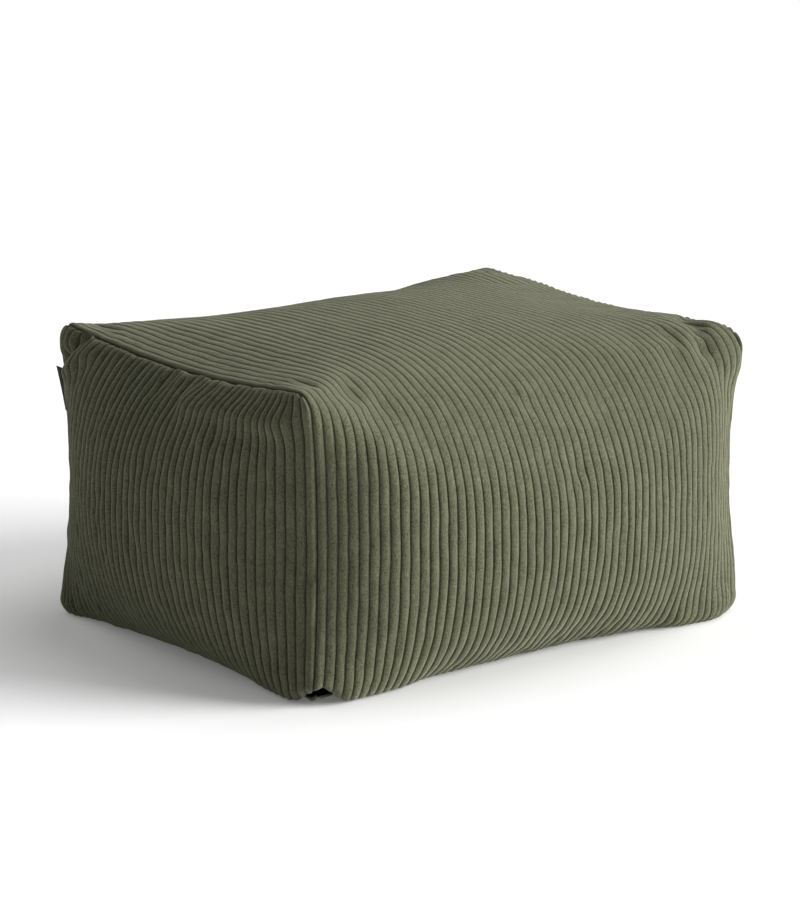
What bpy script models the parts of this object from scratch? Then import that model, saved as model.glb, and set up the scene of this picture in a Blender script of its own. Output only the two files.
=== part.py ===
"""Bean bag footstool: a soft filled box of wide-ribbed corduroy that lies flat on the floor.

One broad strip of cloth runs up the front, over the top and down the back without a seam. Its two
side edges are sewn to an upright panel at each end, and its two hems to a panel underneath, and a
small woven label is caught in the seam at the back of the left end. The filling pushes the upright
faces out into broad crowns, so that the seams lie in hollows between them and the eight corners stay
out as ears.

Metres, +Z up. +X runs along the footstool, -Y is its front, and the origin is on the floor at the
middle of its outline.
"""

import math

import bmesh
import bpy
from mathutils import Vector

# The box between the ears: along, across, and from the floor up.
LENGTH = 0.548
DEPTH = 0.422
HEIGHT = 0.300

# How far the middle of each face stands past the seams round it. A higher shape is flatter in the
# middle and steeper beside the seams.
END_CROWN = {"rise": 0.044, "shape": 2.9}
SIDE_CROWN = {"rise": 0.057, "shape": 3.7}
TOP_CROWN = 0.004
UPRIGHT_SHAPE = 2.9  # the shape of both crowns from the floor up
SETTLE = -0.06  # the level of the crowns' highest point, as a share of half the height

# How far the middle of each edge is drawn in from its ears.
POST_DRAW_ALONG = 0.014
POST_DRAW_ACROSS = 0.009
TOP_SEAM_DRAW = 0.011
TOP_SEAM_SAG = 0.021

# The strip turns from an upright face on to the top round a wide roll, which tightens towards the ears.
# Each is the exponent of a superellipse: a low one is round, and a high one is square.
ROLL_MIDDLE = 4.3
ROLL_EAR = 20.0
SQUARE = 60.0
FOOT_RADIUS = 0.024  # the round that the lower edges make as they turn under

# Each upper ear stands a little differently.
EARS = (
    # end, side, rise
    {"end": -1, "side": 1, "rise": 0.003},
    {"end": -1, "side": -1, "rise": 0.012},
    {"end": 1, "side": -1, "rise": -0.003},
    {"end": 1, "side": 1, "rise": -0.010},
)

# Cloth and seams.
CLOTH = 0.003
GAP = 0.0003
PANEL_SHARE = 0.984  # the part of each end that its panel covers, inside the lip that the strip makes round it
LIP_SHARE = 0.988

# The label: a folded woven tab in the upright seam at the back of the left end.
LABEL_HEIGHT = 0.043
LABEL_REACH = 0.015
LABEL_THICK = 0.0012
LABEL_LEVEL = 0.226
LABEL_GAP = 0.0006
LABEL_TURN = math.radians(72)  # the way that it points out of the seam, turned from +X
LABEL_LEAN = math.radians(18)
LABEL_CURL = 0.003

# How finely the faceted solids follow these shapes.
STEPS_PER_SIDE = 14
STEPS_ALONG = 22
STEPS_INWARD = 6
LABEL_STEPS = 4

CORDUROY = {"colour": (0.150, 0.155, 0.100, 1.0), "roughness": 0.95}
LABEL_WEAVE = {"colour": (0.008, 0.008, 0.008, 1.0), "roughness": 0.8}


def mix(first, second, share):
    """The value that lies this share of the way from first to second."""
    return first + (second - first) * share


def crown(share, shape):
    """One in the middle of a face and none at its edges."""
    return 1 - abs(share) ** shape


def upright_crown(up):
    """The same for the height, with its middle moved to where the filling settles."""
    half = 1 - SETTLE if up > SETTLE else 1 + SETTLE
    return crown((up - SETTLE) / half, UPRIGHT_SHAPE)


def foot_inset(height):
    """How far the lower edges have turned under at this height above the floor."""
    drop = max(FOOT_RADIUS - height, 0.0)
    return FOOT_RADIUS - math.sqrt(FOOT_RADIUS**2 - drop**2)


def bag_point(along, across, up):
    """The outside of the bag, from shares of -1 to 1 along, across and up the plain box that it fills."""
    post = crown(up, 2)
    x = along * (
        LENGTH / 2
        + END_CROWN["rise"] * crown(across, END_CROWN["shape"]) * upright_crown(up)
        - POST_DRAW_ALONG * post * across**2
        - TOP_SEAM_DRAW * crown(across, 2) * up**2
    )
    y = across * (
        DEPTH / 2
        + SIDE_CROWN["rise"] * crown(along, SIDE_CROWN["shape"]) * upright_crown(up)
        - POST_DRAW_ACROSS * post * along**2
    )
    z = mix(CLOTH + GAP, HEIGHT, (up + 1) / 2)
    if up > 0:
        z += up * crown(across, 2) * (TOP_CROWN * crown(along, 2) - TOP_SEAM_SAG * along**2)
    for ear in EARS:
        near = (1 + ear["end"] * along) / 2 * (1 + ear["side"] * across) / 2
        z += ear["rise"] * near * (up + 1) / 2
    inset = foot_inset(z)
    return Vector((x - along * inset, y - across * inset, z))


def outline_shares(along):
    """The closed line round the box at this share of its length, as (across, up) pairs."""
    roll = mix(ROLL_MIDDLE, ROLL_EAR, along**6)
    shares = []
    for quarter in range(4):
        for step in range(STEPS_PER_SIDE):
            run = math.sin(math.pi * (step / STEPS_PER_SIDE - 0.5))
            angle = math.pi - math.atan(run) - quarter * math.pi / 2
            c, s = math.cos(angle), math.sin(angle)
            power = roll if s > 0 else SQUARE
            reach = (abs(c) ** power + abs(s) ** power) ** (-1 / power)
            shares.append((c * reach, s * reach))
    return shares


def section(along, scale=1.0):
    """A ring of points round the bag, drawn towards its middle line by scale."""
    return [bag_point(along, across * scale, up * scale) for across, up in outline_shares(along)]


def sunk(end, across, up, depth):
    """A point of an end face, moved square into the bag by depth."""
    small = 1e-3
    slope_across = bag_point(end, across + small, up) - bag_point(end, across - small, up)
    slope_up = bag_point(end, across, up + small) - bag_point(end, across, up - small)
    return bag_point(end, across, up) - slope_across.cross(slope_up).normalized() * end * depth


def end_sheet(end, depth):
    """Rings from the edge of an end panel to its middle, sunk below its outer face by depth."""
    rings = []
    for step in range(STEPS_INWARD):
        scale = PANEL_SHARE * (1 - step / STEPS_INWARD) ** 0.8
        rings.append([sunk(end, a * scale, u * scale, depth) for a, u in outline_shares(end)])
    return rings


def ring_of(bm, points):
    """One closed loop of edges through these points."""
    verts = [bm.verts.new(p) for p in points]
    return [bm.edges.new(pair) for pair in zip(verts, verts[1:] + verts[:1])]


def loft(name, rings, material):
    """A closed solid through a row of rings, with a fan of faces over the first and the last."""
    bm = bmesh.new()
    loops = [ring_of(bm, ring) for ring in rings]
    for first, second in zip(loops, loops[1:]):
        wall = bmesh.ops.bridge_loops(bm, edges=first + second)["faces"]
        bmesh.ops.triangulate(bm, faces=wall, quad_method="SHORT_EDGE")
    for loop in (loops[0], loops[-1]):
        lid = bmesh.ops.contextual_create(bm, geom=loop)["faces"]
        bmesh.ops.poke(bm, faces=lid)
    bmesh.ops.recalc_face_normals(bm, faces=bm.faces)
    mesh = bpy.data.meshes.new(name)
    bm.to_mesh(mesh)
    bm.free()
    mesh.shade_smooth()
    mesh.set_sharp_from_angle(angle=math.radians(50))
    mesh.materials.append(material)
    made = bpy.data.objects.new(name, mesh)
    bpy.context.scene.collection.objects.link(made)
    return made


def cloth_material(name, look):
    """A rough, unshiny material in the cloth's colour."""
    material = bpy.data.materials.new(name)
    material.use_nodes = True
    shader = material.node_tree.nodes["Principled BSDF"]
    shader.inputs["Base Color"].default_value = look["colour"]
    shader.inputs["Roughness"].default_value = look["roughness"]
    shader.inputs["Metallic"].default_value = 0.0
    return material


def bag_body(material):
    """The filled bag in its strip, with a shallow seat for the panel at each end."""
    seat = CLOTH + GAP
    stations = [math.sin(math.pi * (i / STEPS_ALONG - 0.5)) for i in range(1, STEPS_ALONG)]
    rings = end_sheet(-1, seat)[::-1] + [section(-1, LIP_SHARE)]
    rings += [section(along) for along in stations]
    rings += [section(1, LIP_SHARE)] + end_sheet(1, seat)
    return loft("bag_body", rings, material)


def end_panel(name, end, material):
    """The upright cloth panel sewn into one end."""
    return loft(name, end_sheet(end, 0.0)[::-1] + end_sheet(end, CLOTH), material)


def base_panel(material):
    """The flat panel underneath, which the footstool lies on."""
    corners = [(-1, -1), (1, -1), (1, 1), (-1, 1)]
    outline = []
    for start, stop in zip(corners, corners[1:] + corners[:1]):
        for step in range(STEPS_PER_SIDE):
            share = step / STEPS_PER_SIDE
            edge = bag_point(mix(start[0], stop[0], share), mix(start[1], stop[1], share), -1)
            outline.append(edge - edge.normalized() * GAP)
    rings = [[Vector((p.x, p.y, level)) for p in outline] for level in (0.0, CLOTH)]
    return loft("base_panel", rings, material)


def post_point(level):
    """The seam at the back of the left end, at this height."""
    low, high = -1.0, 1.0
    for _ in range(30):
        middle = (low + high) / 2
        if bag_point(-1, 1, middle).z < level:
            low = middle
        else:
            high = middle
    return bag_point(-1, 1, low)


def label(material):
    """The folded tab: a thin sheet that stands out of the seam, leans and curls a little."""
    out = Vector((math.cos(LABEL_TURN), math.sin(LABEL_TURN), 0))
    side = Vector((-out.y, out.x, 0))
    shares = [step / LABEL_STEPS for step in range(LABEL_STEPS + 1)]
    rings = []
    for row in shares:
        height = LABEL_HEIGHT * (row - 0.5)
        start = post_point(LABEL_LEVEL + height) + out * LABEL_GAP
        reach = LABEL_REACH + height * math.tan(LABEL_LEAN)
        near = [start + out * reach * s + side * (LABEL_CURL * s**2) for s in shares]
        far = [point + side * LABEL_THICK for point in near]
        rings.append(near + far[::-1])
    return loft("label", rings, material)


def main():
    for old in list(bpy.data.objects):
        bpy.data.objects.remove(old)
    corduroy = cloth_material("corduroy", CORDUROY)
    bag_body(corduroy)
    end_panel("end_panel_left", -1, corduroy)
    end_panel("end_panel_right", 1, corduroy)
    base_panel(corduroy)
    label(cloth_material("label_weave", LABEL_WEAVE))


main()
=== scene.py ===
"""Bean bag footstool in wide-ribbed corduroy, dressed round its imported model.

The bag is filled as one welded shell, from its form and a short cloth simulation. Each cloth panel is
then laid over that shell as its own piece, rib by rib, with its edges turned into the seams.

Metres, +Z up. +X runs along the footstool, and -Y is its front.
"""

import logging
import math
from dataclasses import dataclass, field
from enum import Enum

import bmesh
import bpy
import numpy as np
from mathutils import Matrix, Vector
from mathutils.kdtree import KDTree


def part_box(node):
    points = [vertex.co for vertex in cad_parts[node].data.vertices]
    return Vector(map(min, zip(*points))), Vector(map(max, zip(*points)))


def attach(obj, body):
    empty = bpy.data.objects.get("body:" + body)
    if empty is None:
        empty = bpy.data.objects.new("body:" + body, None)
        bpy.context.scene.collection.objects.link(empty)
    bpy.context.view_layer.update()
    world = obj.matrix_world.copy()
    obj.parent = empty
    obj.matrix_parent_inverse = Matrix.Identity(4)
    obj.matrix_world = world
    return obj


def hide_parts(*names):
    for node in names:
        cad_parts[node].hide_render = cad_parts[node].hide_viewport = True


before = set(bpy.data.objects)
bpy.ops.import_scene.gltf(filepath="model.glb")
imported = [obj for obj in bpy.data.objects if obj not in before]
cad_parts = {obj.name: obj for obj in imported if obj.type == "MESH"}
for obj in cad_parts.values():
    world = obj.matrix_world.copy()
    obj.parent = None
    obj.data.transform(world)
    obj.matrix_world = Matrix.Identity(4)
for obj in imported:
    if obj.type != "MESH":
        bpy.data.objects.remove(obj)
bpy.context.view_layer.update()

log = logging.getLogger("footstool")

Colour = tuple[float, float, float]
Triple = tuple[float, float, float]

ROOT = "root"
PITCH = 0.010  # from one rib to the next
WRAP_RIBS = 56
END_RIBS = 42
FLOOR_GAP = 0.0003  # from the floor to the lowest cloth
WELD = 0.001  # points nearer than this are one point of the shell
INSIDE = Vector((0.0, 0.0, 0.15))  # a point in the middle of the filling
FINER = 4  # steps of the form to each cell of the shell, before its points are evened
EDGE = np.ones((1, 1))  # the share at the very edge of a face
LAMP_DISTANCE = 3.0
WHITE = (1.0, 1.0, 1.0, 1.0)
TINY = 1e-9


class Face(Enum):
    """The cloth panels of the bag, by the side that they cover."""

    WRAP = "wrap"
    LEFT = "left end"
    RIGHT = "right end"
    BASE = "base"


@dataclass(frozen=True)
class Crown:
    """How far the middle of a face stands out, and how square its profile is."""

    rise: float
    shape: float

    def at(self, share: np.ndarray) -> np.ndarray:
        """The height of the crown at a share of -1 to 1 across the face."""
        return self.rise * (1 - np.abs(share) ** self.shape)


@dataclass(frozen=True)
class Ear:
    """One upper corner: which end and side it is at, and how far it stands above the others."""

    end: int
    side: int
    rise: float


@dataclass(frozen=True)
class Stroke:
    """A soft push on the cloth along a line, as a hand or the filling leaves it.

    Attributes:
        start: One end of the line.
        stop: The other end.
        reach: How far from the line the push fades out.
        push: The way and the distance that the cloth moves.
        on: The panels that it moves.
    """

    start: Triple
    stop: Triple
    reach: float
    push: Triple
    on: tuple[Face, ...] = (Face.WRAP, Face.LEFT, Face.RIGHT)

    def moved(self, points: np.ndarray) -> np.ndarray:
        """How far this stroke moves each of these points.

        Args:
            points: Places on the cloth, in the last axis.

        Returns:
            The movement of each, in the same shape.
        """
        start, stop = np.array(self.start), np.array(self.stop)
        line = stop - start
        share = ((points - start) @ line / max(line @ line, TINY)).clip(0, 1)
        away = np.linalg.norm(points - start - share[..., None] * line, axis=-1)
        return np.exp(-((away / self.reach) ** 2))[..., None] * np.array(self.push)


@dataclass(frozen=True)
class Cells:
    """How many cells the welded shell has each way."""

    along: int = 44
    across: int = 32
    up: int = 24


@dataclass
class BagForm:
    """The filled bag as a smooth form, from shares of -1 to 1 along, across and up.

    Attributes:
        end_crown: How both ends stand out.
        side_crown: How the front and the back stand out.
        upright: The share of each crown from the floor up.
        settle: The share of the height, from -1 to 1, where the crowns stand out most.
        top_crown: How far the middle of the top rises.
        post_draw_along: How far the upright edges are drawn in along the bag.
        post_draw_across: How far they are drawn in across it.
        top_seam_draw: How far the top seams are drawn in.
        top_seam_sag: How far they sag between their ears.
        roll_middle: How square the roll from the sides to the top is, halfway along.
        roll_ear: How square it is at the ears.
        roll_change: How late the first gives way to the second.
        foot_radius: The round that the lower edges turn under with.
        ears: The upper corners.
        half_length: From the middle to the end seams.
        half_depth: From the middle to the front and back, without their crowns.
        height: From the floor to the top, without the ears.
    """

    end_crown: Crown = Crown(0.044, 2.9)
    side_crown: Crown = Crown(0.057, 3.7)
    upright: Crown = Crown(1.0, 2.9)
    settle: float = -0.06
    top_crown: float = 0.004
    post_draw_along: float = 0.014
    post_draw_across: float = 0.009
    top_seam_draw: float = 0.011
    top_seam_sag: float = 0.021
    roll_middle: float = 4.3
    roll_ear: float = 13.5
    roll_change: int = 6
    foot_radius: float = 0.016
    ears: tuple[Ear, ...] = (Ear(-1, 1, 0.003), Ear(-1, -1, 0.012), Ear(1, -1, -0.003), Ear(1, 1, -0.010))
    half_length: float = field(init=False)
    half_depth: float = field(init=False)
    height: float = field(init=False)

    def __post_init__(self) -> None:
        """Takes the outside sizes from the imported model."""
        self.half_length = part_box("end_panel_right")[1].x - self.end_crown.rise
        self.half_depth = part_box("bag_body")[1].y - self.side_crown.rise
        # The roll takes about half of its rise off the tallest ear.
        self.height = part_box("bag_body")[1].z - max(ear.rise for ear in self.ears) / 2

    def upright_crown(self, up: np.ndarray) -> np.ndarray:
        """The share of a crown at this share of the height, with its middle where the filling settles."""
        half = np.where(up > self.settle, 1 - self.settle, 1 + self.settle)
        return self.upright.at((up - self.settle) / half)

    def place(self, along: np.ndarray, across: np.ndarray, up: np.ndarray) -> np.ndarray:
        """Points of the bag's outside.

        Args:
            along: Shares along the bag, from its left end to its right end.
            across: Shares across it, from front to back.
            up: Shares of its height.

        Returns:
            The points, in metres, in a new last axis.
        """
        side, end, post = 1 - across**2, 1 - along**2, 1 - up**2
        belly = self.upright_crown(up)
        x = self.half_length + self.end_crown.at(across) * belly
        x = x - self.post_draw_along * post * across**2 - self.top_seam_draw * side * up**2
        y = self.half_depth + self.side_crown.at(along) * belly
        y = y - self.post_draw_across * post * along**2
        z = self.height * (up + 1) / 2
        z = z + np.maximum(up, 0) * side * (self.top_crown * end - self.top_seam_sag * along**2)
        for ear in self.ears:
            near = (1 + ear.end * along) / 2 * (1 + ear.side * across) / 2
            z = z + ear.rise * near * (up + 1) / 2
        drop = np.maximum(self.foot_radius - z, 0)
        inset = self.foot_radius - np.sqrt(np.maximum(self.foot_radius**2 - drop**2, 0))
        return np.stack([along * (x - inset), across * (y - inset), z], axis=-1)

    def rounded(self, along: np.ndarray, across: np.ndarray, up: np.ndarray) -> np.ndarray:
        """The same, with the upper corners of each cross-section rounded into the roll.

        Args:
            along: Shares along the bag.
            across: Shares across it.
            up: Shares of its height.

        Returns:
            The points, in metres, in a new last axis.
        """
        power = self.roll_middle + (self.roll_ear - self.roll_middle) * along**self.roll_change
        ring = np.maximum(np.maximum(np.abs(across), np.abs(up)), TINY)
        corner = (np.abs(across / ring) ** power + np.abs(up / ring) ** power) ** (-1 / power)
        scale = np.where(up > 0, 1 + (corner - 1) * ring**2, 1.0)
        return self.place(along, across * scale, up * scale)


def run_along(points: np.ndarray, axis: int) -> np.ndarray:
    """How far each point of a grid is from the first one, measured along this axis of the grid."""
    steps = np.linalg.norm(np.diff(points, axis=axis), axis=2)
    return np.concatenate([np.zeros_like(steps.take([0], axis)), np.cumsum(steps, axis=axis)], axis=axis)


def evened(lines: np.ndarray, count: int) -> np.ndarray:
    """Spaces the points of each line evenly along it.

    Args:
        lines: Points by line, place on the line, and axis.
        count: How many steps each line gets.

    Returns:
        The new points, in the same order of axes.
    """
    out = np.empty((len(lines), count + 1, 3))
    for line, run, made in zip(lines, run_along(lines, 1), out):
        even = np.linspace(0, run[-1], count + 1)
        for axis in range(3):
            made[:, axis] = np.interp(even, run, line[:, axis])
    return out


def spread(count: int) -> np.ndarray:
    """Shares from -1 to 1, finer than count steps."""
    return np.linspace(-1, 1, FINER * count + 1)


def both_ways(points: np.ndarray, first: int, second: int) -> np.ndarray:
    """A grid of points, evened along its second axis into second steps and then along its first."""
    rows = evened(points, second)
    return evened(rows.transpose(1, 0, 2), first).transpose(1, 0, 2)


def grid_of(columns: int, rows: int) -> bmesh.types.BMesh:
    """A flat grid from 0 to 1 each way, ready to be laid over the bag.

    Args:
        columns: How many cells it has one way.
        rows: How many it has the other way.

    Returns:
        The grid.
    """
    bm = bmesh.new()
    bmesh.ops.create_grid(bm, x_segments=columns, y_segments=rows, size=0.5)
    bmesh.ops.translate(bm, verts=bm.verts, vec=(0.5, 0.5, 0))
    return bm


@dataclass(frozen=True)
class Stiffness:
    """How the cloth of the shell gives way to the filling, by the simulation's own names."""

    quality: int = 6
    mass: float = 0.4
    tension_stiffness: float = 20.0
    compression_stiffness: float = 12.0
    shear_stiffness: float = 6.0
    bending_stiffness: float = 0.6

    def set_on(self, settings: bpy.types.ClothSettings) -> None:
        """Gives a simulation these values."""
        for name, value in vars(self).items():
            setattr(settings, name, value)


@dataclass
class Shell:
    """The filled bag as one welded shell, with the grid of points and normals that each panel lies on.

    Attributes:
        form: The bag's shape before it is filled.
        cells: How finely the shell follows it.
        stiffness: How its cloth gives way.
        frames: How long the filling pushes.
        pressure: How hard it pushes.
        slack: The share by which the cloth is cut larger.
        cap: The furthest that any point may move.
        points: The filled bag under each panel, by column and row.
        normals: The way that faces out at each of those points.
    """

    form: BagForm
    cells: Cells = Cells()
    stiffness: Stiffness = Stiffness()
    frames: int = 16
    pressure: float = 2.2
    slack: float = 0.002
    cap: float = 0.004
    points: dict[Face, np.ndarray] = field(default_factory=dict)
    normals: dict[Face, np.ndarray] = field(default_factory=dict)

    def outline(self) -> dict[Face, np.ndarray]:
        """The grid of each panel on the form, before the bag is filled.

        Returns:
            The points of each panel, by column and row.
        """
        form, cells = self.form, self.cells
        along, across, up = spread(cells.along), spread(cells.across), spread(cells.up)
        front = evened(form.rounded(along[:, None], -EDGE, up[None]), cells.up)
        top = evened(form.rounded(along[:, None], across[None], EDGE), cells.across)
        back = evened(form.rounded(along[:, None], EDGE, up[None, ::-1]), cells.up)
        strip = np.concatenate([front, top[:, 1:-1], back], axis=1)
        grids = {Face.WRAP: evened(strip.transpose(1, 0, 2), cells.along).transpose(1, 0, 2)}
        for face, end in ((Face.LEFT, -EDGE), (Face.RIGHT, EDGE)):
            upright = form.rounded(end, across[:, None], up[None])
            grids[face] = both_ways(upright, cells.across, cells.up)
        under = form.place(along[:, None], across[None], -EDGE)
        grids[Face.BASE] = both_ways(under, cells.along, cells.across)
        return grids

    def welded(self, grids: dict[Face, np.ndarray]) -> bpy.types.Object:
        """One closed shell through the four grids.

        Args:
            grids: The points of each panel.

        Returns:
            The shell, as an object of the scene.
        """
        whole = bmesh.new()
        for grid in grids.values():
            columns, rows = grid.shape[0] - 1, grid.shape[1] - 1
            part = grid_of(columns, rows)
            for v in part.verts:
                v.co = grid[round(v.co.x * columns), round(v.co.y * rows)]
            mesh = bpy.data.meshes.new("part")
            part.to_mesh(mesh)
            part.free()
            whole.from_mesh(mesh)
            bpy.data.meshes.remove(mesh)
        bmesh.ops.remove_doubles(whole, verts=whole.verts, dist=WELD)
        bmesh.ops.recalc_face_normals(whole, faces=whole.faces)
        mesh = bpy.data.meshes.new("shell")
        whole.to_mesh(mesh)
        whole.free()
        shell = bpy.data.objects.new("shell", mesh)
        bpy.context.scene.collection.objects.link(shell)
        return shell

    def filled(self, shell: bpy.types.Object, seams: list[int]) -> np.ndarray:
        """Where the filling moves the shell's points.

        Args:
            shell: The shell as it is cut, which rests on its base.
            seams: The points on its seams, which stay where they are.

        Returns:
            The new points.
        """
        start = coordinates(shell.data)
        pins = shell.vertex_groups.new(name="pins")
        pins.add(seams + [i for i, p in enumerate(start) if p[2] < FLOOR_GAP], 1.0, "REPLACE")
        cloth = shell.modifiers.new("filling", "CLOTH")
        settings = cloth.settings
        self.stiffness.set_on(settings)
        settings.shrink_min = -self.slack
        settings.vertex_group_mass = "pins"
        settings.use_pressure = True
        settings.uniform_pressure_force = self.pressure
        settings.effector_weights.gravity = 0.0
        cloth.collision_settings.use_collision = False
        cloth.point_cache.frame_start, cloth.point_cache.frame_end = 1, self.frames
        scene = bpy.context.scene
        for number in range(1, self.frames + 1):
            scene.frame_set(number)
        graph = bpy.context.evaluated_depsgraph_get()
        swollen = coordinates(shell.evaluated_get(graph).data)
        shell.modifiers.remove(cloth)
        scene.frame_set(1)
        move = swollen - start
        far = np.linalg.norm(move, axis=1, keepdims=True)
        log.info("filling moves the cloth by %.4f m on average, up to %.4f m", far.mean(), far.max())
        return start + move * np.minimum(1, self.cap / np.maximum(far, TINY))

    def fill(self) -> None:
        """Builds the shell, fills it, and reads off each panel's points and normals."""
        grids = self.outline()
        shell = self.welded(grids)
        tree = KDTree(len(shell.data.vertices))
        for v in shell.data.vertices:
            tree.insert(v.co, v.index)
        tree.balance()
        index, seams = {}, set()
        for face, grid in grids.items():
            index[face] = np.array([tree.find(point)[1] for point in grid.reshape(-1, 3)])
            at = index[face].reshape(grid.shape[:2])
            seams.update(int(i) for edge in (at[0], at[-1], at[:, 0], at[:, -1]) for i in edge)
        final = self.filled(shell, sorted(seams))
        shell.data.vertices.foreach_set("co", final.astype(np.float32).ravel())
        shell.data.update()
        normals = np.empty(final.size, np.float32)
        shell.data.vertex_normals.foreach_get("vector", normals)
        normals = normals.reshape(-1, 3)
        for face, grid in grids.items():
            self.points[face] = final[index[face]].reshape(grid.shape)
            self.normals[face] = normals[index[face]].reshape(grid.shape)
        bpy.data.objects.remove(shell)


def coordinates(mesh: bpy.types.Mesh) -> np.ndarray:
    """Reads the points of a mesh.

    Args:
        mesh: The mesh.

    Returns:
        Its points, one to a row.
    """
    flat = np.empty(len(mesh.vertices) * 3, np.float32)
    mesh.vertices.foreach_get("co", flat)
    return flat.reshape(-1, 3).astype(float)


def curved_weights(at: np.ndarray, cells: int) -> np.ndarray:
    """How much of each point of an even row a smooth curve through them takes at each place.

    Args:
        at: Places along the row, from 0 to cells.
        cells: How many steps the row has.

    Returns:
        One row of weights for each place.
    """
    first = np.clip(np.floor(at).astype(int), 0, cells - 1)
    t = at - first
    cubic = (
        (-t + 2 * t**2 - t**3) / 2,
        (2 - 5 * t**2 + 3 * t**3) / 2,
        (t + 4 * t**2 - 3 * t**3) / 2,
        (-(t**2) + t**3) / 2,
    )
    weights = np.zeros((len(at), cells + 3))
    for step, share in enumerate(cubic):
        weights[np.arange(len(at)), first + step] += share
    # The row goes on straight past both of its ends.
    weights[:, 1] += 2 * weights[:, 0]
    weights[:, 2] -= weights[:, 0]
    weights[:, -2] += 2 * weights[:, -1]
    weights[:, -3] -= weights[:, -1]
    return weights[:, 1:-1]


def straight_weights(at: np.ndarray, cells: int) -> np.ndarray:
    """The same for straight steps between the points."""
    return np.clip(1 - np.abs(at[:, None] - np.arange(cells + 1)[None]), 0, 1)


@dataclass(frozen=True)
class Waves:
    """Soft unevenness over a panel, the same on each run.

    Attributes:
        seed: Picks the pattern.
        across: From one wave to the next across the ribs.
        along: From one wave to the next along them.
    """

    seed: int
    across: float
    along: float

    def over(self, across: np.ndarray, along: np.ndarray) -> np.ndarray:
        """The waves over a panel.

        Args:
            across: Distances across the ribs, from 0 up.
            along: Distances along them, from 0 up.

        Returns:
            Heights of about -1 to 1, for each distance across and each distance along.
        """
        columns = max(2, round(across[-1] / self.across))
        rows = max(2, round(along[-1] / self.along))
        lattice = np.random.default_rng(self.seed).uniform(-1, 1, (columns + 1, rows + 1))
        first = curved_weights(across / across[-1] * columns, columns)
        second = curved_weights(along / along[-1] * rows, rows)
        return first @ lattice @ second.T


class Unevenness(Enum):
    """What is uneven in a panel: its number, and its waves' size across the ribs and along them."""

    WANDER = (0, 0.016, 0.020)
    DRIFT = (1, 0.050, 0.060)
    RISE = (2, 0.010, 0.014)
    CRUSH = (3, 0.012, 0.017)
    SWELL = (4, 0.060, 0.080)
    DIMPLE = (5, 0.022, 0.035)


@dataclass(frozen=True)
class Rib:
    """The section of one rib of the cloth, and how finely its mesh follows it.

    Attributes:
        height: How far it stands above its valleys.
        square: How square its top is, as the power of a superellipse.
        steps: Where the mesh has its columns, from -1 to 1 across the rib.
    """

    height: float = 0.0026
    square: float = 2.3
    steps: tuple[float, ...] = (-1.0, -0.92, -0.74, -0.4, 0.0, 0.4, 0.74, 0.92)

    def across(self, ribs: int) -> np.ndarray:
        """Where the mesh has its columns over this many ribs, counted in ribs."""
        inside = [rib + (step + 1) / 2 for rib in range(ribs) for step in self.steps]
        return np.array([*inside, float(ribs)])

    def rise(self, at: np.ndarray) -> np.ndarray:
        """How far the cloth stands above its valleys, at places counted in ribs."""
        share = 2 * (at - np.floor(at)) - 1
        return self.height * np.sqrt(np.maximum(1 - np.abs(share) ** self.square, 0))


@dataclass(frozen=True)
class Seam:
    """How a panel's edge turns down into a sewn seam.

    Attributes:
        depth: How deep the seam lies.
        width: How far from it the cloth starts to turn down.
    """

    depth: float
    width: float

    def sink(self, edge: np.ndarray) -> np.ndarray:
        """How deep the cloth lies at this distance from its edge."""
        share = np.clip(1 - edge / self.width, 0, 1)
        return self.depth * (1 - np.sqrt(np.maximum(1 - share**2, 0)))


CORNER_SEAM = Seam(0.0030, 0.0040)  # where two upright panels meet
LIP = Seam(0.0052, 0.0060)  # the wrap at the top seam
TUCK = Seam(0.0062, 0.0080)  # an end panel at the top seam, under the lip
HEM = Seam(0.0045, 0.0055)  # along the floor


@dataclass(frozen=True)
class Fan:
    """How the ribs of an end panel lean towards the front as they reach the top seam.

    Attributes:
        ribs: How many ribs over each one leans, away from the corners.
        front_start: The share of the height where the lean starts beside the front.
        back_start: The share of the height where it starts beside the back.
        power: How suddenly it comes.
        corner: The share of the width over which it fades out at each corner.
    """

    ribs: float = 1.1
    front_start: float = 0.93
    back_start: float = 0.50
    power: float = 1.6
    corner: float = 0.22

    def lean(self, across: np.ndarray, along: np.ndarray) -> np.ndarray:
        """How far the ribs lean over a panel.

        Args:
            across: Shares of 0 to 1 across the panel.
            along: Shares of 0 to 1 along its ribs.

        Returns:
            The lean, in ribs, by column and row.
        """
        start = self.front_start + (self.back_start - self.front_start) * across[:, None]
        rising = np.clip((along[None] - start) / (1 - start), 0, 1) ** self.power
        inward = np.minimum(across, 1 - across) / self.corner
        return self.ribs * np.sin(np.pi / 2 * inward.clip(0, 1))[:, None] * rising


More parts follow.
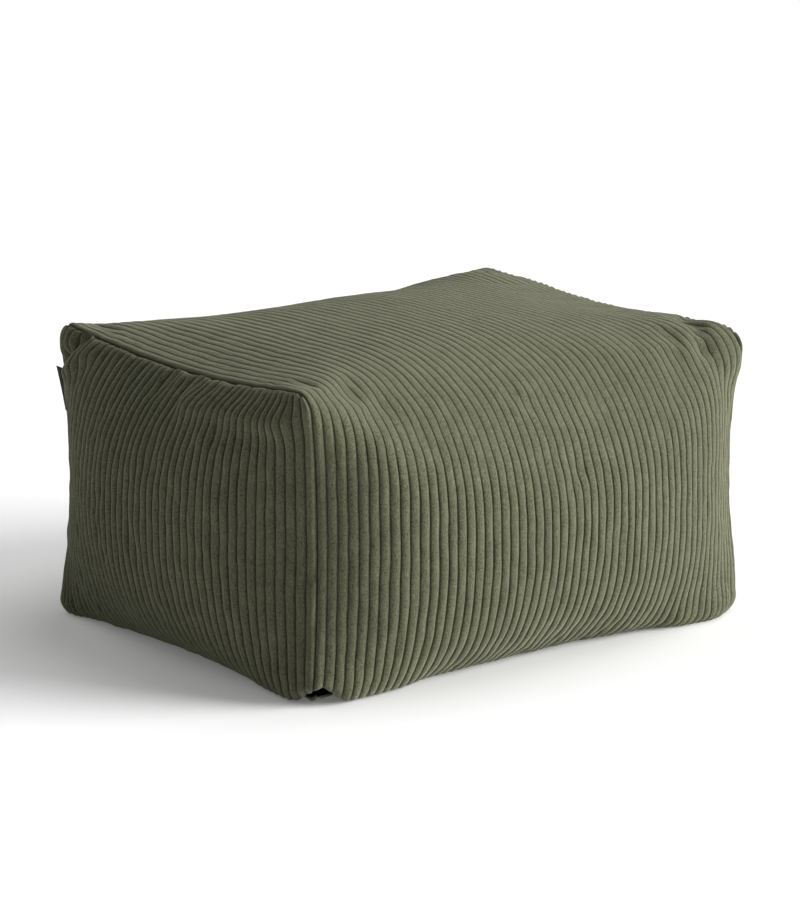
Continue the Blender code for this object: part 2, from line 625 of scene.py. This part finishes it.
class Nodes:
    """Builds one material's nodes in a few short calls."""

    NOISE = (0.3, 0.7)  # the values that most of a noise lies between

    def __init__(self, name: str) -> None:
        """Starts a material with only its surface shader.

        Args:
            name: The material's name.
        """
        self.material = bpy.data.materials.new(name)
        self.material.use_nodes = True
        self.tree = self.material.node_tree
        self.shader = self.tree.nodes["Principled BSDF"]

    def link(self, start: bpy.types.NodeSocket, stop: bpy.types.NodeSocket) -> None:
        """Joins two sockets."""
        self.tree.links.new(start, stop)

    def add(self, kind: str, **values: object) -> bpy.types.Node:
        """A new node.

        Args:
            kind: Its type.
            values: Inputs by name, each a number, a colour or another node's socket, and settings.

        Returns:
            The node.
        """
        node = self.tree.nodes.new(kind)
        for name, value in values.items():
            if name not in node.inputs:
                setattr(node, name, value)
            elif isinstance(value, bpy.types.NodeSocket):
                self.link(value, node.inputs[name])
            else:
                node.inputs[name].default_value = value
        return node

    def sum(self, operation: str, *terms: object) -> bpy.types.NodeSocket:
        """One piece of arithmetic.

        Args:
            operation: Its kind.
            terms: The sockets and numbers that it works on.

        Returns:
            The result.
        """
        node = self.tree.nodes.new("ShaderNodeMath")
        node.operation = operation
        for slot, term in zip(node.inputs, terms):
            if isinstance(term, bpy.types.NodeSocket):
                self.link(term, slot)
            else:
                slot.default_value = term
        return node.outputs[0]

    def spanned(self, noise: bpy.types.NodeSocket, depth: float) -> bpy.types.NodeSocket:
        """A noise spread over a range.

        Args:
            noise: The noise.
            depth: How far the range goes on each side of 0.

        Returns:
            The value.
        """
        node = self.add("ShaderNodeMapRange", Value=noise)
        for name, number in zip(("From Min", "From Max", "To Min", "To Max"), (*self.NOISE, -depth, depth)):
            node.inputs[name].default_value = number
        return node.outputs["Result"]

    def mixed(self, share: bpy.types.NodeSocket, first: Colour, second: Colour) -> bpy.types.NodeSocket:
        """A mix of two colours.

        Args:
            share: How much of the second it holds, from 0 to 1.
            first: One colour.
            second: The other.

        Returns:
            The colour.
        """
        node = self.tree.nodes.new("ShaderNodeMix")
        node.data_type = "RGBA"
        self.link(share, node.inputs["Factor"])
        # Its sockets for colours come after those for numbers and vectors, under the same names.
        node.inputs[6].default_value = (*first, 1.0)
        node.inputs[7].default_value = (*second, 1.0)
        return node.outputs[2]


@dataclass(frozen=True)
class Grain:
    """One size of unevenness in the pile.

    Attributes:
        scale: How many patches it has to a metre.
        detail: How many finer sizes it has within it.
        roughness: How strong those are.
        depth: How far it moves the tone of the cloth, either way.
    """

    scale: float
    detail: float
    roughness: float
    depth: float

    def noise(self, nodes: Nodes) -> bpy.types.NodeSocket:
        """Adds the unevenness to a material, fixed to the object's own place.

        Args:
            nodes: The material's nodes.

        Returns:
            A value that mostly lies within Nodes.NOISE.
        """
        place = nodes.add("ShaderNodeTexCoord").outputs["Object"]
        values = {"Scale": self.scale, "Detail": self.detail, "Roughness": self.roughness}
        return nodes.add("ShaderNodeTexNoise", Vector=place, **values).outputs["Fac"]


@dataclass(frozen=True)
class Corduroy:
    """The look of the cloth: its pile, the shade painted into its valleys, and its colour.

    Attributes:
        colour: The lit top of a rib.
        valley_shade: Painted shade at the bottom of a valley: the colour that the cloth darkens to there.
        valley: Where the painted shade of a valley starts, as a share of half a rib.
        sheen: How much the pile catches the light at its tips.
        sheen_spread: How broadly it catches it.
        tips: The colour of the tips.
        shine: How much else the cloth shines.
        roughness: How dull that is.
        pile: The single tufts, which also stand out as relief.
        tufts: Clumps of them.
        brushed: Where the pile lies one way or the other.
        broad: The unevenness of the dye.
        relief: How much of the pile's relief shows.
        pile_height: How high the relief is.
    """

    colour: Colour = (0.105, 0.108, 0.065)
    # Painted shade: the colour that the valleys between the ribs darken to.
    valley_shade: Colour = (0.057, 0.058, 0.035)
    valley: float = 0.60
    sheen: float = 0.50
    sheen_spread: float = 0.4
    tips: Colour = (0.62, 0.63, 0.48)
    shine: float = 0.15
    roughness: float = 0.92
    pile: Grain = Grain(900.0, 3.0, 0.65, 0.64)
    tufts: Grain = Grain(380.0, 2.0, 0.6, 0.18)
    brushed: Grain = Grain(55.0, 4.0, 0.6, 0.11)
    broad: Grain = Grain(7.0, 2.0, 0.5, 0.06)
    relief: float = 0.8
    pile_height: float = 0.0014

    def made(self) -> bpy.types.Material:
        """Builds the material.

        Returns:
            The material, whose ribs follow the panel's own UV map in metres.
        """
        nodes = Nodes("corduroy")
        pile = self.pile.noise(nodes)
        tone = nodes.sum("ADD", nodes.spanned(pile, self.pile.depth), 1.0)
        for grain in (self.tufts, self.brushed):
            tone = nodes.sum("ADD", tone, nodes.spanned(grain.noise(nodes), grain.depth))
        dye = nodes.sum("ADD", nodes.spanned(self.broad.noise(nodes), self.broad.depth), 1.0)
        shaded = nodes.add("ShaderNodeVectorMath", operation="SCALE")
        # Painted shade: the base colour darkens towards the bottom of each valley between the ribs.
        nodes.link(nodes.mixed(self.valley_shade_mask(nodes), self.colour, self.valley_shade), shaded.inputs[0])
        nodes.link(nodes.sum("MULTIPLY", tone, dye), shaded.inputs["Scale"])
        bump = nodes.add("ShaderNodeBump", Height=pile, Strength=self.relief, Distance=self.pile_height)
        surface = nodes.shader.inputs
        nodes.link(shaded.outputs["Vector"], surface["Base Color"])
        nodes.link(bump.outputs["Normal"], surface["Normal"])
        surface["Roughness"].default_value = self.roughness
        surface["Specular IOR Level"].default_value = self.shine
        surface["Sheen Weight"].default_value = self.sheen
        surface["Sheen Roughness"].default_value = self.sheen_spread
        surface["Sheen Tint"].default_value = (*self.tips, 1.0)
        return nodes.material

    def valley_shade_mask(self, nodes: Nodes) -> bpy.types.NodeSocket:
        """How deep in a valley between two ribs each place lies, which sets how much shade is painted
        there.

        Args:
            nodes: The material's nodes.

        Returns:
            A value from 0 on a rib to 1 at the bottom of a valley.
        """
        uv = nodes.add("ShaderNodeUVMap", uv_map="panel").outputs["UV"]
        split = nodes.add("ShaderNodeSeparateXYZ", Vector=uv)
        rib = nodes.sum("FRACT", nodes.sum("DIVIDE", split.outputs["X"], PITCH))
        away = nodes.sum("MULTIPLY", nodes.sum("ABSOLUTE", nodes.sum("SUBTRACT", rib, 0.5)), 2.0)
        valley = nodes.add("ShaderNodeMapRange", Value=away, interpolation_type="SMOOTHSTEP")
        valley.inputs["From Min"].default_value = self.valley
        return valley.outputs["Result"]


@dataclass(frozen=True)
class LabelWeave:
    """The look of the label: plain black woven tape.

    Attributes:
        colour: Its colour.
        roughness: How dull it is.
        threads: The scale of its threads.
        uneven: How uneven they are.
        relief: How much of their relief shows.
        thread_height: How high the relief is.
    """

    colour: Colour = (0.004, 0.004, 0.004)
    roughness: float = 0.85
    threads: float = 900.0
    uneven: float = 0.4
    relief: float = 0.5
    thread_height: float = 0.0002

    def made(self) -> bpy.types.Material:
        """Builds the material.

        Returns:
            The material, with a fine weave on the label's own UV map in metres.
        """
        nodes = Nodes("label_weave")
        uv = nodes.add("ShaderNodeUVMap", uv_map="panel").outputs["UV"]
        weave = nodes.add("ShaderNodeTexWave", Vector=uv, Scale=self.threads, Distortion=self.uneven)
        height = weave.outputs["Fac"]
        bump = nodes.add("ShaderNodeBump", Height=height, Strength=self.relief, Distance=self.thread_height)
        nodes.link(bump.outputs["Normal"], nodes.shader.inputs["Normal"])
        nodes.shader.inputs["Base Color"].default_value = (*self.colour, 1.0)
        nodes.shader.inputs["Roughness"].default_value = self.roughness
        return nodes.material


def trough(start: Triple, stop: Triple, reach: float, depth: float) -> Stroke:
    """A trough pressed into the left end or, with a depth below 0, a fold that stands out of it."""
    return Stroke(start, stop, reach, (depth, 0.0, 0.0), (Face.LEFT,))


# The pushes on the filled bag, in order. Each has its start, its stop, its reach and its push or depth.
STROKES = (
    # The back left ear stands up.
    Stroke((-0.268, 0.203, 0.285), (-0.268, 0.203, 0.305), 0.020, (0.002, 0.000, 0.003)),
    Stroke((-0.270, 0.205, 0.298), (-0.270, 0.205, 0.308), 0.013, (0.003, -0.0025, 0.000)),
    # The front right ear lies lower, and has a hollow and a bulge beside it.
    Stroke((0.268, -0.206, 0.288), (0.266, -0.206, 0.280), 0.020, (-0.001, 0.001, -0.008)),
    Stroke((0.252, -0.146, 0.284), (0.228, -0.204, 0.276), 0.014, (0.000, 0.003, -0.0055)),
    Stroke((0.264, -0.210, 0.268), (0.264, -0.212, 0.250), 0.018, (0.003, -0.002, 0.000)),
    Stroke((0.226, -0.216, 0.262), (0.246, -0.226, 0.225), 0.014, (0.000, 0.003, 0.000)),
    # The roll at the front is a little fuller towards the right.
    Stroke((0.150, -0.215, 0.262), (0.110, -0.190, 0.282), 0.045, (0.000, -0.002, 0.003)),
    # The right end's top seam sags less, and the back edge and the back right ear lie lower.
    Stroke((0.262, 0.130, 0.270), (0.262, -0.110, 0.275), 0.045, (0.000, 0.000, 0.005)),
    Stroke((-0.060, 0.205, 0.285), (0.070, 0.205, 0.285), 0.085, (0.000, 0.000, -0.0145)),
    Stroke((0.262, 0.198, 0.284), (0.262, 0.160, 0.280), 0.035, (0.000, 0.000, -0.005)),
    # The lower edges turn further under the bag beside its corners.
    Stroke((-0.267, 0.203, 0.000), (-0.267, 0.203, 0.010), 0.034, (-0.010, -0.014, 0.000)),
    Stroke((-0.268, 0.150, 0.000), (-0.268, 0.110, 0.000), 0.034, (-0.004, -0.003, 0.000)),
    Stroke((0.262, -0.205, 0.004), (0.262, -0.205, 0.015), 0.020, (-0.006, 0.002, 0.000)),
    Stroke((0.185, -0.208, 0.000), (0.215, -0.203, 0.000), 0.030, (-0.002, -0.018, 0.000)),
    Stroke((0.242, -0.188, 0.000), (0.244, -0.190, 0.008), 0.036, (-0.014, -0.020, 0.000)),
    Stroke((0.120, -0.210, 0.000), (0.200, -0.210, 0.000), 0.040, (-0.002, -0.008, 0.000)),
    Stroke((-0.270, -0.165, 0.000), (-0.270, -0.130, 0.000), 0.026, (-0.008, -0.006, 0.000)),
    Stroke((-0.225, -0.208, 0.000), (-0.170, -0.208, 0.000), 0.028, (-0.004, -0.010, 0.000)),
    # At the front left corner the hem lifts off the floor, and the base's own corner shows under it.
    Stroke((-0.259, -0.203, 0.004), (-0.255, -0.199, 0.002), 0.015, (0.000, 0.000, 0.018)),
    Stroke((-0.252, -0.196, 0.000), (-0.252, -0.196, 0.003), 0.024, (-0.011, -0.013, 0.003), (Face.BASE,)),
    # The left end stays full up to its top seam towards the front.
    trough((-0.276, -0.172, 0.276), (-0.281, -0.040, 0.265), 0.016, -0.009),
    # The crease beside the back left ear, and the fold in front of it.
    trough((-0.268, 0.158, 0.289), (-0.272, 0.204, 0.256), 0.006, 0.010),
    trough((-0.276, 0.143, 0.280), (-0.280, 0.190, 0.247), 0.008, -0.006),
    # Troughs that run down from the top seam of the left end, and the folds between them.
    trough((-0.267, 0.098, 0.279), (-0.286, 0.118, 0.238), 0.006, 0.0035),
    trough((-0.267, 0.055, 0.277), (-0.292, 0.080, 0.230), 0.007, 0.0045),
    trough((-0.267, 0.012, 0.279), (-0.300, 0.045, 0.208), 0.008, 0.0062),
    trough((-0.267, -0.028, 0.281), (-0.304, -0.010, 0.200), 0.009, 0.0058),
    trough((-0.266, -0.060, 0.285), (-0.294, -0.052, 0.236), 0.006, 0.0040),
    trough((-0.264, -0.096, 0.289), (-0.292, -0.093, 0.240), 0.007, 0.0045),
    trough((-0.267, -0.008, 0.280), (-0.302, 0.014, 0.214), 0.010, -0.0025),
    trough((-0.266, -0.079, 0.287), (-0.294, -0.074, 0.238), 0.009, -0.0030),
)


@dataclass
class Panel:
    """One panel of corduroy laid over the filled shell.

    Attributes:
        name: The piece's name.
        face: Which side of the bag it covers.
        ribs: How many ribs it has.
        rows: How many steps its mesh has along the ribs.
        rib: The section of a rib.
        last: The seam at the end of its ribs.
        fan: How its ribs lean, if they do.
        wander: How far they stray sideways.
        drift: How much of that is broad, as a share.
        held: How far from a seam they stop straying.
        rise: How unevenly they stand, as a share of their height.
        crush: How far a crushed spot lies down, as a share.
        crushed_from: The height of a wave where a crushed spot starts.
        crushed_over: How much further it is fully crushed.
        swell: How far the cloth stands out or lies in, over broad patches.
        dimple: How much of that is in small patches, as a share.
        swell_fade: How far from a seam it fades.
        pressed: How far the ribs of the top lie down, as a share.
        slope: How far up the cloth faces where it counts as the top, from 0 to 1.
    """

    name: str
    face: Face
    ribs: int
    rows: int
    rib: Rib = Rib()
    last: Seam = HEM
    fan: Fan = Fan(ribs=0)
    wander: float = 0.0005
    drift: float = 0.6
    held: float = 0.012
    rise: float = 0.16
    crush: float = 0.35
    crushed_from: float = 0.35
    crushed_over: float = 0.6
    swell: float = 0.0011
    dimple: float = 0.5
    swell_fade: float = 0.05
    pressed: float = 0.60
    slope: float = 0.6

    def spread_out(self, shell: Shell) -> tuple[np.ndarray, np.ndarray]:
        """The points and normals of the bag under this panel's mesh, by column and row.

        Args:
            shell: The filled bag.

        Returns:
            The points and the normals.
        """
        points, normals = shell.points[self.face], shell.normals[self.face]
        columns, steps = points.shape[0] - 1, points.shape[1] - 1
        across = self.rib.across(self.ribs)
        along = np.linspace(0, 1, self.rows + 1)
        by_column, by_row = across / self.ribs * columns, along * steps
        curved = curved_weights(by_column, columns), curved_weights(by_row, steps)
        straight = straight_weights(by_column, columns), straight_weights(by_row, steps)
        surface = np.einsum("ai,bj,ijk->abk", *curved, points)
        outward = np.einsum("ai,bj,ijk->abk", *straight, normals)
        leaning = across[:, None] - self.fan.lean(across / self.ribs, along)
        for grid in (surface, outward) if self.fan.ribs else ():
            for row in range(self.rows + 1):
                for axis in range(3):
                    grid[:, row, axis] = np.interp(leaning[:, row], across, grid[:, row, axis])
        for stroke in STROKES:
            if self.face in stroke.on:
                surface = surface + stroke.moved(surface)
        return surface, outward / np.linalg.norm(outward, axis=2, keepdims=True)

    def waves(self, kind: Unevenness, flat: tuple[np.ndarray, np.ndarray]) -> np.ndarray:
        """One kind of unevenness over this panel, at these distances across its ribs and along them."""
        number, across, along = kind.value
        return Waves(list(Face).index(self.face) * 10 + number, across, along).over(*flat)

    def lifted(self, flat: tuple[np.ndarray, np.ndarray], inward: np.ndarray) -> np.ndarray:
        """How far the cloth stands above the bag.

        Args:
            flat: Distances across the ribs and along them.
            inward: How far each place is from the nearest seam.

        Returns:
            The heights, by column and row.
        """
        ribs = self.rib.rise(self.rib.across(self.ribs))[:, None]
        ribs = ribs * (1 + self.rise * self.waves(Unevenness.RISE, flat))
        crushed = (self.waves(Unevenness.CRUSH, flat) - self.crushed_from) / self.crushed_over
        swell = self.waves(Unevenness.SWELL, flat) + self.dimple * self.waves(Unevenness.DIMPLE, flat)
        fading = (inward / self.swell_fade).clip(0, 1)
        return ribs * (1 - self.crush * crushed.clip(0, 1)) + self.swell * swell * fading

    def laid(self, shell: Shell) -> tuple[np.ndarray, np.ndarray]:
        """The cloth's outer surface.

        Args:
            shell: The filled bag.

        Returns:
            Its points by column and row, and their distances in metres across and along the ribs.
        """
        surface, outward = self.spread_out(shell)
        span, run = run_along(surface, 0), run_along(surface, 1)
        sides, ends = np.minimum(span, span[-1:] - span), np.minimum(run, run[:, -1:] - run)
        flat = self.rib.across(self.ribs) * PITCH, run.mean(axis=0)
        sideways = np.gradient(surface, axis=0)
        sideways /= np.linalg.norm(sideways, axis=2, keepdims=True)
        stray = self.waves(Unevenness.WANDER, flat) + self.drift * self.waves(Unevenness.DRIFT, flat)
        stray = self.wander * stray * (sides / self.held).clip(0, 1)
        surface = surface + sideways * stray[..., None]
        facing_up = (outward[..., 2] / self.slope).clip(0, 1) if self.face is Face.WRAP else 0.0
        lift = self.lifted(flat, np.minimum(sides, ends)) * (1 - self.pressed * facing_up)
        sink = CORNER_SEAM.sink(sides) * (1 - facing_up) + LIP.sink(sides) * facing_up
        sink = sink + HEM.sink(run) + self.last.sink(run[:, -1:] - run)
        measures = np.stack(np.broadcast_arrays(flat[0][:, None], flat[1][None]), axis=2)
        return surface + outward * (lift - sink)[..., None], measures

    def shaped(self, shell: Shell) -> tuple[bmesh.types.BMesh, np.ndarray]:
        """The cloth as an open grid, facing outwards.

        Args:
            shell: The filled bag.

        Returns:
            The grid, and the flat measures of each of its vertices.
        """
        surface, flat = self.laid(shell)
        surface[..., 2] = np.maximum(surface[..., 2], FLOOR_GAP)
        columns, rows = surface.shape[0] - 1, surface.shape[1] - 1
        bm = grid_of(columns, rows)
        measures = np.empty((len(bm.verts), 2))
        for v, measure in zip(bm.verts, measures):
            place = round(v.co.x * columns), round(v.co.y * rows)
            measure[:] = flat[place]
            v.co = surface[place]
        bm.normal_update()
        middle = len(bm.faces) // 2 + columns // 2
        bm.faces.ensure_lookup_table()
        if bm.faces[middle].normal.dot(bm.faces[middle].calc_center_median() - INSIDE) < 0:
            bmesh.ops.reverse_faces(bm, faces=bm.faces)
        return bm, measures


def shown(
    name: str, bm: bmesh.types.BMesh, measures: np.ndarray, finish: bpy.types.Material
) -> bpy.types.Object:
    """Makes a bmesh a piece of the scene, shaded smooth, that rides on the bag.

    Args:
        name: The piece's name.
        bm: Its shape, which is freed.
        measures: The flat measures of its first vertices, in metres, which become its UV map.
        finish: Its material.

    Returns:
        The piece.
    """
    mesh = bpy.data.meshes.new(name)
    bm.to_mesh(mesh)
    bm.free()
    mesh.shade_smooth()
    mesh.materials.append(finish)
    corners = np.empty(len(mesh.loops), np.int32)
    mesh.loops.foreach_get("vertex_index", corners)
    measures = np.concatenate([measures, np.zeros((len(mesh.vertices) - len(measures), 2))])
    uv = measures[corners].astype(np.float32)
    mesh.uv_layers.new(name="panel").data.foreach_set("uv", uv.ravel())
    piece = bpy.data.objects.new(name, mesh)
    bpy.context.scene.collection.objects.link(piece)
    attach(piece, ROOT)
    return piece


def thickened(piece: bpy.types.Object, thickness: float, offset: float) -> None:
    """Gives a sheet its thickness.

    Args:
        piece: The sheet.
        thickness: How thick it gets.
        offset: -1 for all of it inwards, 0 for half on each side.
    """
    solid = piece.modifiers.new("thickness", "SOLIDIFY")
    solid.thickness = thickness
    solid.offset = offset


@dataclass
class Bag:
    """The footstool: its filled wrap, two end panels and base, all laid on one shell.

    Attributes:
        shell: The filled bag.
        cloth: The material of every panel.
        sheet: How thick the cloth is.
        fill: How full the wrap is; not used.
        end_rib: The section of a rib on the end panels.
        base_rib: The section of a rib on the base, which lies flat under the bag.
        wrap_rows: How many steps the wrap's mesh has along its ribs.
        end_rows: The same for an end panel.
        base_rows: The same for the base.
        dome: How far the filling stands out behind each end panel.
    """

    shell: Shell
    cloth: bpy.types.Material
    sheet: float = 0.0022
    fill: float = 0.85
    end_rib: Rib = Rib(height=0.0042, square=2.0)
    base_rib: Rib = Rib(height=0.0008, steps=(-1.0, -0.5, 0.0, 0.5))
    wrap_rows: int = 196
    end_rows: int = 92
    base_rows: int = 40
    dome: float = 0.02

    def wrap(self) -> bpy.types.Object:
        """The filled body: the wrap panel, closed underneath and behind each end panel.

        Returns:
            The piece.
        """
        panel = Panel("wrap", Face.WRAP, WRAP_RIBS, self.wrap_rows)
        bm, measures = panel.shaped(self.shell)
        columns = len(panel.rib.across(panel.ribs))
        hem_rows = {0}, {panel.rows}
        hems = [edge for edge in bm.edges if {v.index // columns for v in edge.verts} in hem_rows]
        bmesh.ops.bridge_loops(bm, edges=hems)
        openings = [edge for edge in bm.edges if edge.is_boundary]
        ends = bmesh.ops.holes_fill(bm, edges=openings, sides=0)["faces"]
        bmesh.ops.poke(bm, faces=ends, offset=self.dome)
        bmesh.ops.recalc_face_normals(bm, faces=bm.faces)
        piece = shown(panel.name, bm, measures, self.cloth)
        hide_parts("bag_body")
        return piece

    def end(self, name: str, node: str, face: Face) -> bpy.types.Object:
        """One end panel, a sheet sewn along its edges.

        Args:
            name: The piece's name.
            node: The node that it stands for.
            face: Which end it covers.

        Returns:
            The piece.
        """
        panel = Panel(name, face, END_RIBS, self.end_rows, rib=self.end_rib, last=TUCK, fan=Fan())
        return self.sewn(panel, node)

    def base(self) -> bpy.types.Object:
        """The base panel, pressed flat by the filling."""
        panel = Panel("base_cloth", Face.BASE, WRAP_RIBS, self.base_rows, rib=self.base_rib, swell=0.0)
        return self.sewn(panel, "base_panel")

    def sewn(self, panel: Panel, node: str) -> bpy.types.Object:
        """Makes a panel a sheet with a thickness.

        Args:
            panel: The panel.
            node: The node that it stands for.

        Returns:
            The piece.
        """
        bm, measures = panel.shaped(self.shell)
        piece = shown(panel.name, bm, measures, self.cloth)
        thickened(piece, self.sheet, -1.0)
        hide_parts(node)
        return piece


@dataclass
class Label:
    """The folded woven tab in the seam at the back of the left end.

    Attributes:
        height: Its height along the seam.
        reach: How far it stands out of the seam.
        sewn_in: How much more of it is held in the seam.
        fold: How far each of its two layers stands from their middle.
        opening: How soon they part, going in from the folded edge.
        tape: How thick each layer is.
        lean: How much further it stands out at its top than at its foot, as an angle.
        turn: The way that it points out of the seam, turned from +X.
        curl: How far its folded edge curls to the side.
        columns: How many steps its mesh has along the tape.
        rows: How many it has across it.
    """

    height: float = 0.043
    reach: float = 0.015
    sewn_in: float = 0.006
    fold: float = 0.0006
    opening: float = 6.0
    tape: float = 0.0004
    lean: float = math.radians(18)
    turn: float = math.radians(72)
    curl: float = 0.003
    columns: int = 20
    rows: int = 12

    def made(self, shell: Shell, finish: bpy.types.Material) -> bpy.types.Object:
        """Builds the tab as one tape, folded at its outer edge.

        Args:
            shell: The filled bag, whose seam holds the tab.
            finish: The material.

        Returns:
            The piece.
        """
        low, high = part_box("label")
        seam = shell.points[Face.LEFT][-1]
        middle, half = (low.z + high.z) / 2, self.height / 2
        levels = np.linspace(middle - half, middle + half, self.rows + 1)
        start = np.stack([np.interp(levels, seam[:, 2], seam[:, axis]) for axis in range(3)], axis=1)
        out = np.array((math.cos(self.turn), math.sin(self.turn), 0.0))
        side = np.array((-out[1], out[0], 0.0))
        bm = grid_of(self.columns, self.rows)
        measures = np.empty((len(bm.verts), 2))
        for v, measure in zip(bm.verts, measures):
            run, row = v.co.x * 2 - 1, round(v.co.y * self.rows)
            share = 1 - abs(run)
            reach = self.reach + (v.co.y - 0.5) * self.height * math.tan(self.lean) + self.sewn_in
            gap = self.fold * math.copysign(1, run) * min(1.0, abs(run) * self.opening)
            bend = self.curl * share**2 + gap
            measure[:] = run * reach, v.co.y * self.height
            v.co = start[row] + out * (reach * share - self.sewn_in) + side * bend
        piece = shown("label_tab", bm, measures, finish)
        thickened(piece, self.tape, 0.0)
        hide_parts("label")
        return piece


@dataclass(frozen=True)
class Lamp:
    """One broad soft light, by the way that it comes from.

    Attributes:
        name: Its name.
        power: How strong it is.
        breadth: How broad it looks from the bag, in degrees.
        turn: How far it stands to the right of the camera, in degrees.
        rise: How high it stands, in degrees.
    """

    name: str
    power: float
    breadth: float
    turn: float
    rise: float

    def set_up(self, azimuth: float) -> None:
        """Adds the light to the scene.

        Args:
            azimuth: The camera's azimuth.
        """
        light = bpy.data.lights.new(self.name, "SUN")
        light.energy, light.angle = self.power, math.radians(self.breadth)
        lamp = bpy.data.objects.new(self.name, light)
        way = direction(azimuth + math.radians(self.turn), math.radians(self.rise))
        lamp.location = way * LAMP_DISTANCE
        lamp.rotation_euler = (-way).to_track_quat("-Z", "Y").to_euler()
        bpy.context.scene.collection.objects.link(lamp)


def direction(azimuth: float, elevation: float) -> Vector:
    """The way out from the bag to something at this azimuth and elevation."""
    level = math.cos(elevation)
    return Vector((math.sin(azimuth) * level, -math.cos(azimuth) * level, math.sin(elevation)))


@dataclass
class Studio:
    """The camera, a pale floor and soft light from the right.

    Attributes:
        azimuth: The way to the camera, turned from the front.
        elevation: How high the camera stands, as an angle.
        distance: How far it stands from what it looks at.
        aim: The height of what it looks at.
        lens: Its focal length, in millimetres.
        sensor: The breadth of its sensor, in millimetres.
        sight: How far it sees.
        floor_size: The side of the floor.
        floor_tone: How pale the floor is.
        floor_dullness: How dull it is.
        floor_glow: How much light it gives of its own.
        lamps: The lights.
        air: The even light from all round.
    """

    azimuth: float = math.radians(-38.35)
    elevation: float = math.radians(15.12)
    distance: float = 4.725
    aim: float = 0.1603
    lens: float = 211.2
    sensor: float = 36.0
    sight: float = 100.0
    floor_size: float = 40.0
    floor_tone: float = 0.97
    floor_dullness: float = 0.8
    floor_glow: float = 0.11
    lamps: tuple[Lamp, ...] = (
        Lamp("key", power=5.95, breadth=38, turn=88, rise=15.5),
        Lamp("overhead", power=1.15, breadth=50, turn=122, rise=60),
        Lamp("fill", power=0.60, breadth=60, turn=-115, rise=48),
    )
    air: float = 0.08

    def camera(self) -> None:
        """Looks at the left end and the front from a little above, through a long lens."""
        back = direction(self.azimuth, self.elevation)
        lens = bpy.data.cameras.new("camera")
        lens.lens, lens.sensor_width, lens.sensor_fit = self.lens, self.sensor, "HORIZONTAL"
        lens.clip_end = self.sight
        camera = bpy.data.objects.new("camera", lens)
        camera.location = Vector((0, 0, self.aim)) + back * self.distance
        camera.rotation_euler = (-back).to_track_quat("-Z", "Y").to_euler()
        bpy.context.scene.collection.objects.link(camera)
        bpy.context.scene.camera = camera

    def lit(self) -> None:
        """The lamps, and even light from all round."""
        for lamp in self.lamps:
            lamp.set_up(self.azimuth)
        world = bpy.data.worlds.new("air")
        world.use_nodes = True
        background = world.node_tree.nodes["Background"]
        background.inputs["Color"].default_value = WHITE
        background.inputs["Strength"].default_value = self.air
        bpy.context.scene.world = world
        bpy.context.scene.view_settings.view_transform = "Standard"

    def floor(self) -> None:
        """A plain pale floor."""
        bm = bmesh.new()
        bmesh.ops.create_grid(bm, x_segments=1, y_segments=1, size=self.floor_size / 2)
        mesh = bpy.data.meshes.new("floor")
        bm.to_mesh(mesh)
        bm.free()
        nodes = Nodes("floor")
        nodes.shader.inputs["Base Color"].default_value = (*[self.floor_tone] * 3, 1.0)
        nodes.shader.inputs["Roughness"].default_value = self.floor_dullness
        nodes.shader.inputs["Emission Color"].default_value = WHITE
        nodes.shader.inputs["Emission Strength"].default_value = self.floor_glow
        mesh.materials.append(nodes.material)
        floor = bpy.data.objects.new("floor", mesh)
        bpy.context.scene.collection.objects.link(floor)


def main() -> None:
    """Builds everything in order and reports it."""
    logging.basicConfig(level=logging.INFO, format="%(name)s: %(message)s")
    studio = Studio()
    studio.camera()
    studio.floor()
    studio.lit()
    shell = Shell(BagForm())
    shell.fill()
    bag = Bag(shell, Corduroy().made())
    made = [bag.wrap(), bag.base()]
    made.append(bag.end("left_cloth", "end_panel_left", Face.LEFT))
    made.append(bag.end("right_cloth", "end_panel_right", Face.RIGHT))
    made.append(Label().made(shell, LabelWeave().made()))
    for piece in made:
        log.info("%s: %d vertices", piece.name, len(piece.data.vertices))


if __name__ == "__main__":
    main()
